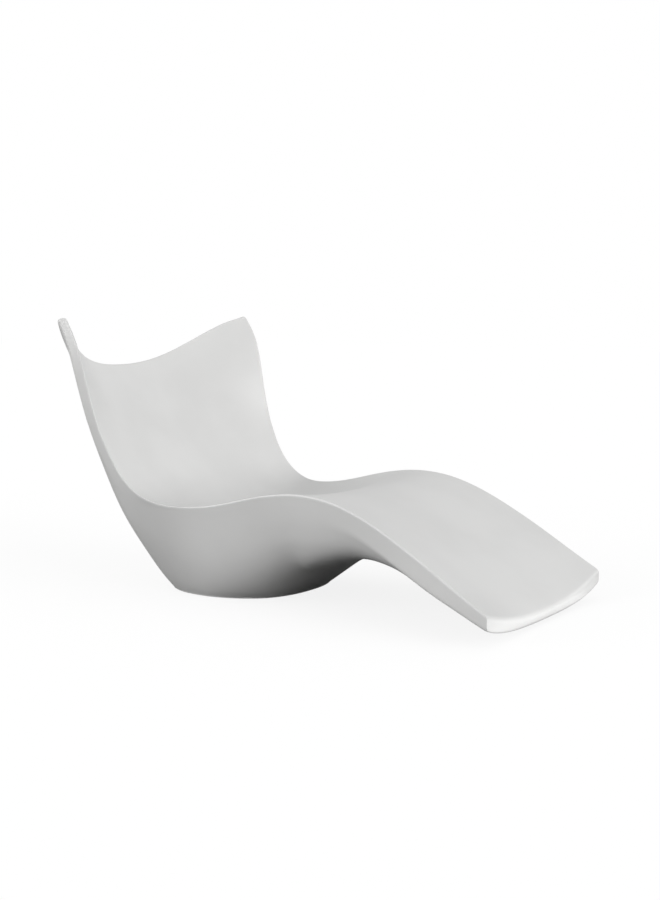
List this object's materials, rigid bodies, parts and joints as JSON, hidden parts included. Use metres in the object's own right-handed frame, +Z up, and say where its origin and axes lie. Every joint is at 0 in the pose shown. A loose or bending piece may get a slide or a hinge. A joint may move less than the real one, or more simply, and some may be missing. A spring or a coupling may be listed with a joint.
{
  "type": "in-pool sun lounger",
  "caption": "Hollow moulded sun lounger with a winged back, bucket seat and sloping leg rest on an oval base, held down by water ballast through screw-plugged ports.",
  "frame": {"origin": "centre of the base's flat underside; the rubber pads stand 2 mm below it", "axes": "+X towards the foot end, +Y across, +Z up"},
  "size_m": [1.8554, 1.0554, 0.9825],
  "materials": {
    "shell_polyethylene": "satin, finely textured, light grey",
    "port_bush": "moulded, mid grey",
    "plug_plastic": "moulded, mid grey",
    "seal_rubber": "black rubber",
    "pad_rubber": "dark grey ribbed rubber",
    "screw_steel": "stainless",
    "insert_brass": "turned brass"
  },
  "bodies": {
    "lounger": {"body_shell": "shell_polyethylene", "fill_port_bush": "port_bush", "drain_port_bush": "port_bush", "foot_pad_1": "pad_rubber", "pad_screw_1": "screw_steel", "pad_insert_1": "insert_brass", "foot_pad_2": "pad_rubber", "pad_screw_2": "screw_steel", "pad_insert_2": "insert_brass", "foot_pad_3": "pad_rubber", "pad_screw_3": "screw_steel", "pad_insert_3": "insert_brass", "foot_pad_4": "pad_rubber", "pad_screw_4": "screw_steel", "pad_insert_4": "insert_brass", "foot_pad_5": "pad_rubber", "pad_screw_5": "screw_steel", "pad_insert_5": "insert_brass", "foot_pad_6": "pad_rubber", "pad_screw_6": "screw_steel", "pad_insert_6": "insert_brass"},
    "fill_plug_seal": {"fill_plug_seal": "seal_rubber"},
    "fill_plug": {"fill_plug": "plug_plastic"},
    "drain_plug_seal": {"drain_plug_seal": "seal_rubber"},
    "drain_plug": {"drain_plug": "plug_plastic"}
  },
  "joints": [
    {"name": "fill_plug_lift", "type": "slide", "parent": "lounger", "child": "fill_plug_seal", "axis": [-0.8658, 0, -0.5004], "range_m": [0, 0.016]},
    {"name": "fill_plug_turn", "type": "hinge", "parent": "fill_plug_seal", "child": "fill_plug", "pos_m": [-0.50883, 0, 0.54432], "axis": [-0.8658, 0, -0.5004], "range_deg": [0, 1440]},
    {"name": "drain_plug_lift", "type": "slide", "parent": "lounger", "child": "drain_plug_seal", "axis": [-0.9279, 0, -0.3728], "range_m": [0, 0.016]},
    {"name": "drain_plug_turn", "type": "hinge", "parent": "drain_plug_seal", "child": "drain_plug", "pos_m": [-0.29544, 0, 0.08833], "axis": [-0.9279, 0, -0.3728], "range_deg": [0, 1440]}
  ],
  "couplings": [
    {"joint": "fill_plug_lift", "follows": "fill_plug_turn", "m_per_rad": 0.00063662},
    {"joint": "drain_plug_lift", "follows": "drain_plug_turn", "m_per_rad": 0.00063662}
  ]
}
